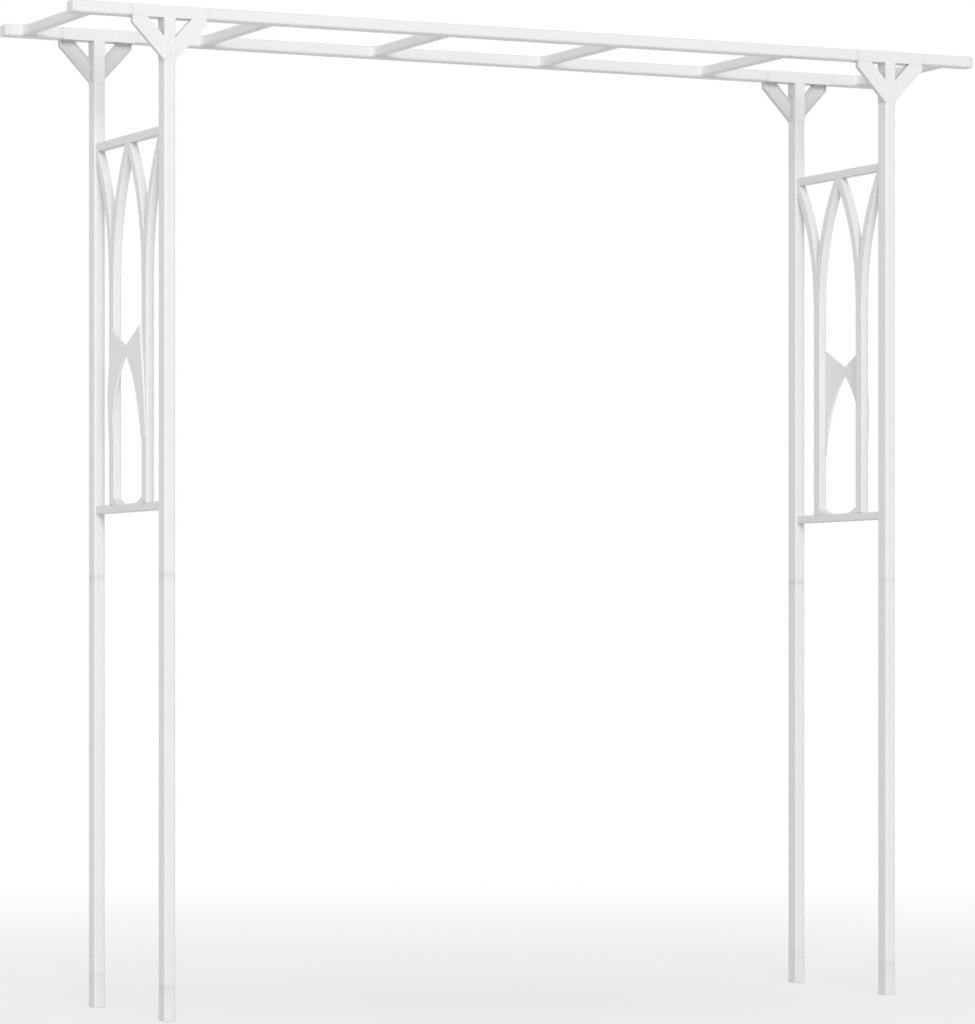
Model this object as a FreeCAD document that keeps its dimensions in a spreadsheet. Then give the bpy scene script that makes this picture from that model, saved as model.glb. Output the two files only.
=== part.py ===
"""Free-standing white garden arch: four tube posts, two beams with rungs, and two gothic side panels.

X runs along the beams, Y from the front row of posts to the back row, Z up.
The origin is on the ground, in the middle of the four feet. All sizes are in millimetres.
"""
import FreeCAD, Part
import math
import os

import Sketcher

SIZES = [
    ("overall_height", 2100, "ground to the top of the beams"),
    ("post_spacing", 1720, "left to right, between post axes"),
    ("row_spacing", 410, "front to back, between post axes"),
    ("beam_overhang", 214, "post axis to the end of the beam"),
    ("tube_wide", 37, "wide side of the post and beam tube"),
    ("tube_narrow", 25, "narrow side of the post and beam tube"),
    ("tube_wall", 2, "wall of the post and beam tube"),
    ("tube_corner", 5, "corner radius of the post and beam tube"),
    ("bar_wide", 30, "wide side of the slat tube"),
    ("bar_thick", 18, "narrow side of the slat tube"),
    ("bar_wall", 1.8, "wall of the slat and rung tube"),
    ("bar_corner", 4, "corner radius of the slat and rung tube"),
    ("fit_gap", 0.2, "clearance on each side of a plugged joint"),
    ("plug_wall", 2.5, "wall of a hollow plug"),
    ("plug_length", 45, "length of a plug inside a tube"),
    ("joint_flange", 2, "thickness of the coupler's flange"),
    ("foot_height", 70, "height of the foot below the lower tube"),
    ("peg_radius", 6.25, "radius of the ground peg hole"),
    ("peg_depth", 60, "depth of the ground peg hole"),
    ("connector_length", 164, "length of the connector's top bar"),
    ("leg_length", 88, "connector leg below the top bar"),
    ("arm_start", 1, "outer edge of the arm above the leg's lower end"),
    ("arm_drop", 13, "upright end of the arm below the top bar"),
    ("arm_run", 33, "level width of the arm under the top bar"),
    ("arm_depth", 13, "thickness of the arm, front to back"),
    ("arm_setback", 1, "arm behind the outer face of the leg"),
    ("arm_skin", 3, "flanges of the arm's channel"),
    ("arm_recess", 4, "depth of the arm's channel, from its inner side"),
    ("edge_round", 1.5, "rounded edges of moulded pieces"),
    ("cap_flange", 3, "thickness of the beam end cap"),
    ("cap_plug", 5, "depth of the end cap inside the tube"),
    ("rung_count", 6, "rungs between the beams"),
    ("rung_wide", 18, "level side of the rung tube"),
    ("rung_high", 22, "upright side of the rung tube"),
    ("rung_inset", 52, "end of the beam to the axis of the last rung"),
    ("tenon_wide", 12, "wide side of a tenon"),
    ("tenon_thick", 10, "narrow side of a tenon"),
    ("tenon_reach", 6, "tenon beyond the wall that it passes"),
    ("rail_high", 18, "height of the panel rails"),
    ("header_drop", 245, "top of the beams to the top of the header"),
    ("panel_height", 778, "top of the header to the top of the bottom rail"),
    ("joint_drop", 154, "top of the bottom rail to the joint in the post"),
    ("slat_offset", 95.5, "panel centre to a slat's axis"),
    ("fork_height", 277, "header rail's underside to the forks' lower ends"),
    ("fork_wide", 21, "width of a fork's branch"),
    ("apex_web", 17, "header rail's underside to the point of the arch"),
    ("spreader_drop", 110, "forks' lower ends to the top of the spreader"),
    ("spreader_side", 238, "height of the spreader"),
    ("spreader_dip", 41, "depth of the dip in the spreader's top"),
    ("spreader_web", 17, "spreader's height in the middle"),
    ("spreader_thick", 5, "thickness of the spreader"),
    ("spreader_lap", 4, "spreader's top corner beyond the slat's inner edge"),
    ("flare_wide", 50, "curved flare on the bottom rail, along the rail"),
    ("flare_high", 14, "curved flare on the bottom rail, up the slat"),
]

doc = FreeCAD.newDocument("garden_arch")
sheet = doc.addObject("Spreadsheet::Sheet", "Sizes")
for row, (alias, number, meaning) in enumerate(SIZES, 1):
    sheet.set(f"A{row}", meaning)
    sheet.set(f"B{row}", str(number))
    sheet.setAlias(f"B{row}", alias)
doc.recompute()

HALF_X = "Sizes.post_spacing / 2"
HALF_Y = "Sizes.row_spacing / 2"
ROW_GAP = "(Sizes.row_spacing - Sizes.tube_wide)"
BEAM_UNDER = "(Sizes.overall_height - Sizes.tube_narrow)"
BEAM_AXIS = "(Sizes.overall_height - Sizes.tube_narrow / 2)"
POST_TOP = f"({BEAM_UNDER} - Sizes.leg_length)"
PLUG_WIDE = "(Sizes.tube_wide - 2 * Sizes.tube_wall - 2 * Sizes.fit_gap)"
PLUG_NARROW = "(Sizes.tube_narrow - 2 * Sizes.tube_wall - 2 * Sizes.fit_gap)"
BORE_WIDE = f"({PLUG_WIDE} - 2 * Sizes.plug_wall)"
BORE_NARROW = f"({PLUG_NARROW} - 2 * Sizes.plug_wall)"
BAR_PLUG_WIDE = "(Sizes.bar_wide - 2 * Sizes.bar_wall - 2 * Sizes.fit_gap)"
BAR_PLUG_THICK = "(Sizes.bar_thick - 2 * Sizes.bar_wall - 2 * Sizes.fit_gap)"
TENON_LENGTH = "(Sizes.tube_wall + Sizes.tenon_reach)"
SLAT_INNER = "(Sizes.slat_offset - Sizes.bar_wide / 2)"

HEADER_TOP = "(Sizes.overall_height - Sizes.header_drop)"
HEADER_UNDER = f"({HEADER_TOP} - Sizes.rail_high)"
SILL_TOP = f"({HEADER_TOP} - Sizes.panel_height)"
POST_JOINT = f"({SILL_TOP} - Sizes.joint_drop)"
ARCH_SPRING = f"({HEADER_UNDER} - Sizes.fork_height)"

nodes = []


def value(expression):
    """The present number of an expression on the sheet."""
    return float(sheet.evalExpression(expression.replace("Sizes.", "")))


def bind(thing, **sizes):
    for name, expression in sizes.items():
        thing.setExpression(name, expression)


def place(thing, x="0", y="0", z="0", turn=FreeCAD.Rotation()):
    """Turn a piece, then bind its position to the sheet."""
    thing.Placement = FreeCAD.Placement(FreeCAD.Vector(), turn)
    for axis, expression in zip("xyz", (x, y, z)):
        thing.setExpression(f"Placement.Base.{axis}", expression)


def about_z(degrees):
    return FreeCAD.Rotation(FreeCAD.Vector(0, 0, 1), degrees)


def finished(thing, label):
    """Register a finished piece under its node name."""
    thing.Label = label
    nodes.append(thing)
    return thing


# Sketches and features of a body

def new_body(label):
    return finished(doc.addObject("PartDesign::Body", label), label)


def new_sketch(body, role, x="0", y="0", z="0"):
    """An empty sketch on an origin plane, with its own origin shifted within and off that plane."""
    sketch = body.newObject("Sketcher::SketchObject", f"{body.Name}_sketch")
    plane = next(item for item in body.Origin.OriginFeatures if item.Role == role)
    sketch.AttachmentSupport = (plane, "")
    sketch.MapMode = "FlatFace"
    for axis, expression in zip("xyz", (x, y, z)):
        sketch.setExpression(f"AttachmentOffset.Base.{axis}", expression)
    return sketch


def add_rectangle(sketch, width, height):
    """A rectangle about the sketch's origin, bound to its two sizes."""
    first = sketch.GeometryCount
    half_w = value(width) / 2
    half_h = value(height) / 2
    corners = [(-half_w, -half_h), (half_w, -half_h), (half_w, half_h), (-half_w, half_h)]
    add_lines(sketch, corners)
    for side, direction in enumerate(("Horizontal", "Vertical", "Horizontal", "Vertical")):
        sketch.addConstraint(Sketcher.Constraint(direction, first + side))
    sketch.addConstraint(Sketcher.Constraint("Symmetric", first, 1, first + 1, 2, -1, 1))
    across = sketch.addConstraint(Sketcher.Constraint("DistanceX", first, 1, first, 2, 2 * half_w))
    up = sketch.addConstraint(Sketcher.Constraint("DistanceY", first + 1, 1, first + 1, 2, 2 * half_h))
    sketch.setExpression(f"Constraints[{across}]", width)
    sketch.setExpression(f"Constraints[{up}]", height)


def join_ends(sketch, run):
    """Make each line or arc of a closed run start where the one before it ends."""
    for before, after in zip(run, run[1:] + run[:1]):
        sketch.addConstraint(Sketcher.Constraint("Coincident", before, 2, after, 1))


def add_lines(sketch, corners):
    """A closed run of lines through the corners."""
    points = [FreeCAD.Vector(x, y, 0) for x, y in corners]
    ends = points[1:] + points[:1]
    run = [sketch.addGeometry(Part.LineSegment(*pair), False) for pair in zip(points, ends)]
    join_ends(sketch, run)


def add_arc(sketch, centre, start, end):
    """An arc that runs anticlockwise from start to end."""
    angles = [math.atan2(y - centre[1], x - centre[0]) for x, y in (start, end)]
    if angles[1] < angles[0]:
        angles[1] += 2 * math.pi
    circle = Part.Circle(FreeCAD.Vector(*centre, 0), FreeCAD.Vector(0, 0, 1), math.dist(centre, start))
    return sketch.addGeometry(Part.ArcOfCircle(circle, *angles), False)


def fix_point(sketch, geometry, end, x=None, y=None):
    """Bind a point's distances from the sketch's axes; each keeps the side that it starts on."""
    for kind, axis, expression in (("DistanceX", -2, x), ("DistanceY", -1, y)):
        if expression is None:
            continue
        number = value(expression)
        if number == 0:
            sketch.addConstraint(Sketcher.Constraint("PointOnObject", geometry, end, axis))
            continue
        order = (-1, 1, geometry, end) if number > 0 else (geometry, end, -1, 1)
        index = sketch.addConstraint(Sketcher.Constraint(kind, *order, abs(number)))
        sketch.setExpression(f"Constraints[{index}]", expression if number > 0 else f"-({expression})")


def add_polygon(sketch, corners):
    """A closed polygon whose corners are pairs of expressions."""
    first = sketch.GeometryCount
    add_lines(sketch, [(value(x), value(y)) for x, y in corners])
    for i, (x, y) in enumerate(corners):
        fix_point(sketch, first + i, 1, x, y)


def rectangle(body, role, width, height, x="0", y="0", z="0"):
    sketch = new_sketch(body, role, x, y, z)
    add_rectangle(sketch, width, height)
    return sketch


def pad(body, sketch, length, both_ways=False, back=False):
    feature = body.newObject("PartDesign::Pad", f"{body.Name}_pad")
    feature.Profile = sketch
    feature.SideType = "Symmetric" if both_ways else "One side"
    feature.Reversed = back
    feature.setExpression("Length", length)
    doc.recompute()
    return feature


def pocket(body, sketch, length=None, both_ways=False, back=False):
    """Cut a sketch away, right through or to a depth, and make sure that something was cut."""
    before = body.Shape.Volume
    feature = body.newObject("PartDesign::Pocket", f"{body.Name}_pocket")
    feature.Profile = sketch
    feature.SideType = "Symmetric" if both_ways else "One side"
    feature.Reversed = back
    if length is None:
        feature.Type = "ThroughAll"
    else:
        feature.setExpression("Length", length)
    doc.recompute()
    if body.Shape.Volume >= before:
        raise RuntimeError(f"{feature.Name} cuts nothing")
    return feature


def round_edges(body, radius, wanted):
    """Round the straight edges that the test picks, given an edge's direction and middle."""
    base = body.Tip
    names = []
    for number, edge in enumerate(base.Shape.Edges, 1):
        if edge.Curve.TypeId != "Part::GeomLine":
            continue
        middle = edge.valueAt((edge.FirstParameter + edge.LastParameter) / 2)
        if wanted(edge.tangentAt(edge.FirstParameter), middle):
            names.append(f"Edge{number}")
    feature = body.newObject("PartDesign::Fillet", f"{body.Name}_round")
    feature.Base = (base, names)
    feature.setExpression("Radius", radius)
    doc.recompute()
    return feature


def outer_corners(width, depth):
    """Picks the upright edges at the corners of a rectangle of the given sizes."""
    half_w = value(width) / 2
    half_d = value(depth) / 2

    def wanted(direction, middle):
        at_corner = abs(abs(middle.x) - half_w) < 0.01 and abs(abs(middle.y) - half_d) < 0.01
        return at_corner and abs(direction.z) > 0.99

    return wanted


def tube(label, width, depth, wall, corner, length):
    """A rectangular tube with rounded corners, standing on its own XY plane."""
    body = new_body(label)
    profile = new_sketch(body, "XY_Plane")
    add_rectangle(profile, width, depth)
    add_rectangle(profile, f"{width} - 2 * {wall}", f"{depth} - 2 * {wall}")
    pad(body, profile, length)
    round_edges(body, corner, outer_corners(width, depth))
    return body


def frame_tube(label, length):
    return tube(label, "Sizes.tube_narrow", "Sizes.tube_wide", "Sizes.tube_wall", "Sizes.tube_corner", length)


def mortise(body, width, height, along):
    """A hole for a tenon through the tube's +Y wall, at a distance along the tube."""
    play = "2 * Sizes.fit_gap"
    pocket(body, rectangle(body, "XZ_Plane", f"{width} + {play}", f"{height} + {play}", y=along))


# Solids for the pieces that are built from plain blocks and cylinders

def block(name, size, low):
    """A box from its three sizes and its lowest corner, all expressions."""
    box = doc.addObject("Part::Box", name)
    bind(box, Length=size[0], Width=size[1], Height=size[2])
    place(box, *low)
    return box


def fuse(name, parts):
    joined = doc.addObject("Part::MultiFuse", name)
    joined.Shapes = parts
    joined.Refine = True
    return joined


def overlap(name, parts):
    shared = doc.addObject("Part::MultiCommon", name)
    shared.Shapes = parts
    shared.Refine = True
    return shared


def cut(name, base, tool):
    result = doc.addObject("Part::Cut", name)
    result.Base = base
    result.Tool = tool
    result.Refine = True
    return result


# The four posts: foot, lower tube, coupler and upper tube

CORNERS = [
    ("front_left", -1, -1),
    ("front_right", 1, -1),
    ("back_left", -1, 1),
    ("back_right", 1, 1),
]


def foot(label):
    body = new_body(label)
    pad(body, rectangle(body, "XY_Plane", "Sizes.tube_narrow", "Sizes.tube_wide"), "Sizes.foot_height")
    round_edges(body, "Sizes.tube_corner", outer_corners("Sizes.tube_narrow", "Sizes.tube_wide"))
    plug = rectangle(body, "XY_Plane", PLUG_NARROW, PLUG_WIDE, z="Sizes.foot_height")
    pad(body, plug, "Sizes.plug_length")
    peg = new_sketch(body, "XY_Plane")
    peg.addGeometry(Part.Circle(FreeCAD.Vector(), FreeCAD.Vector(0, 0, 1), value("Sizes.peg_radius")), False)
    peg.addConstraint(Sketcher.Constraint("Coincident", 0, 3, -1, 1))
    radius = peg.addConstraint(Sketcher.Constraint("Radius", 0, value("Sizes.peg_radius")))
    peg.setExpression(f"Constraints[{radius}]", "Sizes.peg_radius")
    pocket(body, peg, "Sizes.peg_depth", back=True)
    return body


def coupler(label):
    body = new_body(label)
    flange = rectangle(body, "XY_Plane", "Sizes.tube_narrow", "Sizes.tube_wide")
    pad(body, flange, "Sizes.joint_flange", both_ways=True)
    round_edges(body, "Sizes.tube_corner", outer_corners("Sizes.tube_narrow", "Sizes.tube_wide"))
    plug = rectangle(body, "XY_Plane", PLUG_NARROW, PLUG_WIDE)
    pad(body, plug, "2 * Sizes.plug_length + Sizes.joint_flange", both_ways=True)
    pocket(body, rectangle(body, "XY_Plane", BORE_NARROW, BORE_WIDE), both_ways=True)
    return body


UPPER_FOOT = f"({POST_JOINT} + Sizes.joint_flange / 2)"

for corner, side, row in CORNERS:
    x = f"{side} * {HALF_X}"
    y = f"{row} * {HALF_Y}"
    facing = about_z(0 if row < 0 else 180)

    place(foot(f"{corner}_foot"), x, y)

    lower_length = f"{POST_JOINT} - Sizes.joint_flange / 2 - Sizes.foot_height"
    place(frame_tube(f"{corner}_post_lower", lower_length), x, y, "Sizes.foot_height")

    place(coupler(f"{corner}_post_coupler"), x, y, POST_JOINT)

    upper = frame_tube(f"{corner}_post_upper", f"{POST_TOP} - {UPPER_FOOT}")
    for rail_top in (HEADER_TOP, SILL_TOP):
        along = f"{rail_top} - Sizes.rail_high / 2 - {UPPER_FOOT}"
        mortise(upper, "Sizes.tenon_wide", "Sizes.tenon_thick", along)
    place(upper, x, y, UPPER_FOOT, facing)


# The corner connectors: a top bar between the beam tubes, a leg over the post and two slanting arms

def connector(label):
    body = new_body(label)
    half_bar = "Sizes.connector_length / 2"
    half_leg = "Sizes.tube_narrow / 2"
    slope = f"((Sizes.leg_length - Sizes.arm_drop - Sizes.arm_start) / ({half_bar} - {half_leg}))"
    flange = f"(Sizes.arm_skin * sqrt(1 + {slope} ^ 2))"
    outer_face = "Sizes.tube_wide / 2"

    bar = rectangle(body, "YZ_Plane", "Sizes.tube_wide", "Sizes.tube_narrow", y="Sizes.tube_narrow / 2")
    pad(body, bar, "Sizes.connector_length", both_ways=True)
    leg = rectangle(body, "XY_Plane", "Sizes.tube_narrow", "Sizes.tube_wide")
    pad(body, leg, "Sizes.leg_length", back=True)

    def long_edges(direction, middle):
        on_leg = abs(direction.z) > 0.99 and abs(middle.x) < value(half_leg) + 0.01
        on_top = abs(direction.x) > 0.99 and middle.z > value("Sizes.tube_narrow") - 0.01
        return on_leg or on_top

    round_edges(body, "Sizes.edge_round", long_edges)

    front = f"{outer_face} - Sizes.arm_setback"
    arms = new_sketch(body, "XZ_Plane", y="-Sizes.leg_length", z=front)
    floor = f"{front} - Sizes.arm_depth + Sizes.arm_recess"
    recesses = new_sketch(body, "XZ_Plane", y="-Sizes.leg_length", z=floor)
    inner_foot = f"(Sizes.leg_length - {slope} * ({half_bar} - Sizes.arm_run - {half_leg}))"
    outer_end = f"(Sizes.leg_length - Sizes.arm_drop - Sizes.arm_skin * {slope} + {flange})"
    for side in ("", "-"):
        add_polygon(arms, [
            (f"{side}({half_leg})", "Sizes.arm_start"),
            (f"{side}({half_bar})", "Sizes.leg_length - Sizes.arm_drop"),
            (f"{side}({half_bar})", "Sizes.leg_length"),
            (f"{side}({half_bar} - Sizes.arm_run)", "Sizes.leg_length"),
            (f"{side}({half_leg})", inner_foot),
        ])
        add_polygon(recesses, [
            (f"{side}({half_leg})", f"Sizes.arm_start + {flange}"),
            (f"{side}({half_bar} - Sizes.arm_skin)", outer_end),
            (f"{side}({half_bar} - Sizes.arm_skin)", "Sizes.leg_length"),
            (f"{side}({half_bar} - Sizes.arm_run + {flange} / {slope})", "Sizes.leg_length"),
            (f"{side}({half_leg})", f"{inner_foot} - {flange}"),
        ])
    pad(body, arms, "Sizes.arm_depth", back=True)
    pocket(body, recesses, "Sizes.arm_recess")

    across = rectangle(body, "YZ_Plane", PLUG_WIDE, PLUG_NARROW, y="Sizes.tube_narrow / 2")
    pad(body, across, "Sizes.connector_length + 2 * Sizes.plug_length", both_ways=True)
    down = rectangle(body, "XY_Plane", PLUG_NARROW, PLUG_WIDE, z="-Sizes.leg_length")
    pad(body, down, "Sizes.plug_length", back=True)

    through = rectangle(body, "YZ_Plane", BORE_WIDE, BORE_NARROW, y="Sizes.tube_narrow / 2")
    pocket(body, through, both_ways=True)
    upward = rectangle(body, "XY_Plane", BORE_NARROW, BORE_WIDE, z="-Sizes.leg_length - Sizes.plug_length")
    pocket(body, upward, "Sizes.leg_length + Sizes.plug_length - Sizes.plug_wall", back=True)

    notch = new_sketch(body, "XZ_Plane", y="-Sizes.leg_length", z=outer_face)
    add_polygon(notch, [
        ("-Sizes.tube_narrow / 2", "0"),
        ("Sizes.tube_narrow / 2", "0"),
        ("0", "Sizes.tube_narrow / 2"),
    ])
    pocket(body, notch, "Sizes.tube_wall")
    return body


for corner, side, row in CORNERS:
    place(
        connector(f"{corner}_connector"),
        f"{side} * {HALF_X}", f"{row} * {HALF_Y}", BEAM_UNDER, about_z(0 if row < 0 else 180),
    )


# The beams: a middle tube between two connectors, a short tube at each end, and end caps

BEAM_HALF = f"({HALF_X} + Sizes.beam_overhang)"
RUNG_PITCH = f"(2 * ({BEAM_HALF} - Sizes.rung_inset) / (Sizes.rung_count - 1))"
RUNG_AXIS = "(Sizes.overall_height - Sizes.rung_high / 2)"
RUNG_PLUG_WIDE = "(Sizes.rung_wide - 2 * Sizes.bar_wall - 2 * Sizes.fit_gap)"
RUNG_PLUG_HIGH = "(Sizes.rung_high - 2 * Sizes.bar_wall - 2 * Sizes.fit_gap)"
MIDDLE_LENGTH = "(Sizes.post_spacing - Sizes.connector_length)"
END_LENGTH = "(Sizes.beam_overhang - Sizes.connector_length / 2 - Sizes.cap_flange)"
END_START = f"({HALF_X} + Sizes.connector_length / 2)"
rung_count = int(value("Sizes.rung_count"))
rung_places = [f"({k} * {RUNG_PITCH} + Sizes.rung_inset - {BEAM_HALF})" for k in range(rung_count)]


def beam_tube(label, row, length, start, rungs):
    """A tube lying along +X from start, with mortises for its rungs in the wall that faces the other beam."""
    body = frame_tube(label, length)
    along_x = FreeCAD.Rotation(FreeCAD.Vector(0, 1, 0), 90)
    if row < 0:
        for rung in rungs:
            mortise(body, "Sizes.tenon_thick", "Sizes.tenon_wide", f"{rung} - {start}")
        place(body, start, f"{row} * {HALF_Y}", BEAM_AXIS, along_x)
    else:
        end = f"({start} + {length})"
        for rung in rungs:
            mortise(body, "Sizes.tenon_thick", "Sizes.tenon_wide", f"{end} - {rung}")
        place(body, end, f"{row} * {HALF_Y}", BEAM_AXIS, about_z(180).multiply(along_x))


def end_cap(label):
    body = new_body(label)
    pad(body, rectangle(body, "XY_Plane", "Sizes.tube_narrow", "Sizes.tube_wide"), "Sizes.cap_flange")
    round_edges(body, "Sizes.tube_corner", outer_corners("Sizes.tube_narrow", "Sizes.tube_wide"))
    pad(body, rectangle(body, "XY_Plane", PLUG_NARROW, PLUG_WIDE), "Sizes.cap_plug", back=True)
    return body


for row_name, row in (("front", -1), ("back", 1)):
    beam_tube(f"{row_name}_beam_middle", row, MIDDLE_LENGTH, f"(-{MIDDLE_LENGTH} / 2)", rung_places[1:-1])
    beam_tube(f"{row_name}_beam_left_end", row, END_LENGTH, f"(-{END_START} - {END_LENGTH})", rung_places[:1])
    beam_tube(f"{row_name}_beam_right_end", row, END_LENGTH, END_START, rung_places[-1:])
    for side_name, side in (("left", -1), ("right", 1)):
        place(
            end_cap(f"{row_name}_beam_{side_name}_cap"),
            f"{side} * ({END_START} + {END_LENGTH})", f"{row} * {HALF_Y}", BEAM_AXIS,
            FreeCAD.Rotation(FreeCAD.Vector(0, 1, 0), side * 90),
        )


# The rungs and the plugs that hold their ends in the beams

for number, rung_place in enumerate(rung_places, 1):
    rung = tube(
        f"rung_{number}", "Sizes.rung_wide", "Sizes.rung_high", "Sizes.bar_wall", "Sizes.bar_corner", ROW_GAP
    )
    lying = FreeCAD.Rotation(FreeCAD.Vector(1, 0, 0), -90)
    place(rung, rung_place, f"-{ROW_GAP} / 2", RUNG_AXIS, lying)


def rung_plugs(label, row):
    """One plug for each rung: a block inside the rung and a tenon through the beam's wall."""
    plugs = []
    for number, rung_place in enumerate(rung_places, 1):
        name = f"{label}_{number}"
        inner = "-Sizes.plug_length" if row > 0 else "0"
        outer = "0" if row > 0 else f"-{TENON_LENGTH}"
        seat = f"{row} * {ROW_GAP} / 2"
        plug = block(
            f"{name}_block",
            (RUNG_PLUG_WIDE, "Sizes.plug_length", RUNG_PLUG_HIGH),
            (
                f"{rung_place} - {RUNG_PLUG_WIDE} / 2", f"{seat} + ({inner})",
                f"{RUNG_AXIS} - {RUNG_PLUG_HIGH} / 2",
            ),
        )
        tenon = block(
            f"{name}_tenon",
            ("Sizes.tenon_wide", TENON_LENGTH, "Sizes.tenon_thick"),
            (
                f"{rung_place} - Sizes.tenon_wide / 2", f"{seat} + ({outer})",
                f"{BEAM_AXIS} - Sizes.tenon_thick / 2",
            ),
        )
        plugs.append(fuse(name, [plug, tenon]))
    group = doc.addObject("Part::Compound", label)
    group.Links = plugs
    return finished(group, label)


for row_name, row in (("front", -1), ("back", 1)):
    rung_plugs(f"{row_name}_rung_plugs", row)


# The side panels: a gothic header, two slats, a spreader across them and a bottom rail

ARCH_RISE = "(Sizes.fork_height - Sizes.apex_web)"
ARCH_REACH = f"(({ARCH_RISE} ^ 2 - {SLAT_INNER} ^ 2) / (2 * {SLAT_INNER}))"
ARCH_RADIUS = f"({ARCH_REACH} + {SLAT_INNER})"
BAY = "(2 * Sizes.slat_offset)"
SPREADER_TOP = f"({ARCH_SPRING} - Sizes.spreader_drop)"
SPREADER_SPRING = f"({SPREADER_TOP} - Sizes.spreader_side)"
SPREADER_DIP = f"({SPREADER_TOP} - Sizes.spreader_dip)"
SPREADER_APEX = f"({SPREADER_DIP} - Sizes.spreader_web)"
SPREADER_EDGE = "(Sizes.slat_offset + Sizes.bar_wide / 2 - Sizes.bar_corner)"
SPREADER_SHOULDER = f"({SPREADER_SPRING} + Sizes.spreader_side * 0.4)"
SPREADER_TENONS = [f"({SPREADER_SPRING} + Sizes.spreader_side / {share})" for share in (6, 3)]


def pointed_arches(name, radius):
    """Three pointed arches side by side, each where two cylinders overlap."""
    arches = []
    for bay in (-1, 0, 1):
        halves = []
        for side in (-1, 1):
            round_side = doc.addObject("Part::Cylinder", f"{name}_side")
            bind(round_side, Radius=radius, Height="Sizes.bar_thick")
            axis_y = f"{bay} * {BAY} + {side} * {ARCH_REACH}"
            level = FreeCAD.Rotation(FreeCAD.Vector(0, 1, 0), 90)
            place(round_side, "-Sizes.bar_thick / 2", axis_y, ARCH_SPRING, level)
            halves.append(round_side)
        arches.append(overlap(f"{name}_arch", halves))
    return fuse(f"{name}_arches", arches)


def header(label):
    """A rail with two curved forks, tenons for the posts and plugs for the slats."""
    window = block(
        f"{label}_window",
        ("Sizes.bar_thick", ROW_GAP, "Sizes.fork_height"),
        ("-Sizes.bar_thick / 2", f"-{ROW_GAP} / 2", ARCH_SPRING),
    )
    inner = pointed_arches(f"{label}_inner", ARCH_RADIUS)
    outer = pointed_arches(f"{label}_outer", f"{ARCH_RADIUS} + Sizes.fork_wide")
    forks = cut(f"{label}_forks", overlap(f"{label}_bands", [window, outer]), inner)
    rail = block(
        f"{label}_rail",
        ("Sizes.bar_thick", ROW_GAP, "Sizes.rail_high"),
        ("-Sizes.bar_thick / 2", f"-{ROW_GAP} / 2", HEADER_UNDER),
    )
    tenons = block(
        f"{label}_tenons",
        ("Sizes.tenon_wide", f"{ROW_GAP} + 2 * {TENON_LENGTH}", "Sizes.tenon_thick"),
        (
            "-Sizes.tenon_wide / 2", f"-{ROW_GAP} / 2 - {TENON_LENGTH}",
            f"{HEADER_UNDER} + (Sizes.rail_high - Sizes.tenon_thick) / 2",
        ),
    )
    plugs = [
        block(
            f"{label}_plug",
            (BAR_PLUG_THICK, BAR_PLUG_WIDE, "Sizes.plug_length"),
            (
                f"-{BAR_PLUG_THICK} / 2", f"{side} * Sizes.slat_offset - {BAR_PLUG_WIDE} / 2",
                f"{ARCH_SPRING} - Sizes.plug_length",
            ),
        )
        for side in (-1, 1)
    ]
    return finished(fuse(label, [rail, forks, tenons] + plugs), label)


def slat(label):
    """An upright tube with mortises for the spreader's tenons in its +X wall."""
    body = tube(
        label, "Sizes.bar_thick", "Sizes.bar_wide", "Sizes.bar_wall", "Sizes.bar_corner",
        f"{ARCH_SPRING} - {SILL_TOP}",
    )
    play = "2 * Sizes.fit_gap"
    for level in SPREADER_TENONS:
        hole = rectangle(
            body, "YZ_Plane", f"Sizes.tenon_thick + {play}", f"Sizes.tenon_wide + {play}",
            y=f"{level} - {SILL_TOP}",
        )
        pocket(body, hole, back=True)
    return body


def spreader(label):
    """A plate with a pointed arch below and a dip above, tenoned into the +X walls of both slats."""
    body = new_body(label)
    outline = new_sketch(body, "YZ_Plane", z="Sizes.bar_thick / 2")
    right = [
        (f"({SLAT_INNER} + Sizes.spreader_lap)", SPREADER_TOP),
        (SPREADER_EDGE, SPREADER_SHOULDER),
        (SPREADER_EDGE, SPREADER_SPRING),
        (SLAT_INNER, SPREADER_SPRING),
    ]
    left = [(f"-{across}", up) for across, up in reversed(right)]
    corners = left + [("0", SPREADER_DIP)] + right
    points = [(value(across), value(up)) for across, up in corners]
    for start, end in zip(points, points[1:]):
        outline.addGeometry(Part.LineSegment(FreeCAD.Vector(*start, 0), FreeCAD.Vector(*end, 0)), False)
    half, spring = points[-1]
    rise = value(SPREADER_APEX) - spring
    reach = (rise ** 2 - half ** 2) / (2 * half)
    apex = (0, spring + rise)
    right_arc = add_arc(outline, (-reach, spring), points[-1], apex)
    left_arc = add_arc(outline, (reach, spring), apex, points[0])
    lines = list(range(len(points) - 1))
    join_ends(outline, lines + [right_arc, left_arc])
    for line in lines:
        fix_point(outline, line, 1, *corners[line])
    fix_point(outline, lines[-1], 2, *corners[-1])
    fix_point(outline, right_arc, 2, "0", SPREADER_APEX)
    for arc in (right_arc, left_arc):
        fix_point(outline, arc, 3, y=SPREADER_SPRING)
    pad(body, outline, "Sizes.spreader_thick")
    for side in (-1, 1):
        for level in SPREADER_TENONS:
            tenon = rectangle(
                body, "YZ_Plane", "Sizes.tenon_thick", "Sizes.tenon_wide",
                x=f"{side} * Sizes.slat_offset", y=level, z="Sizes.bar_thick / 2",
            )
            pad(body, tenon, "Sizes.bar_wall + Sizes.tenon_reach", back=True)
    return body


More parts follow.
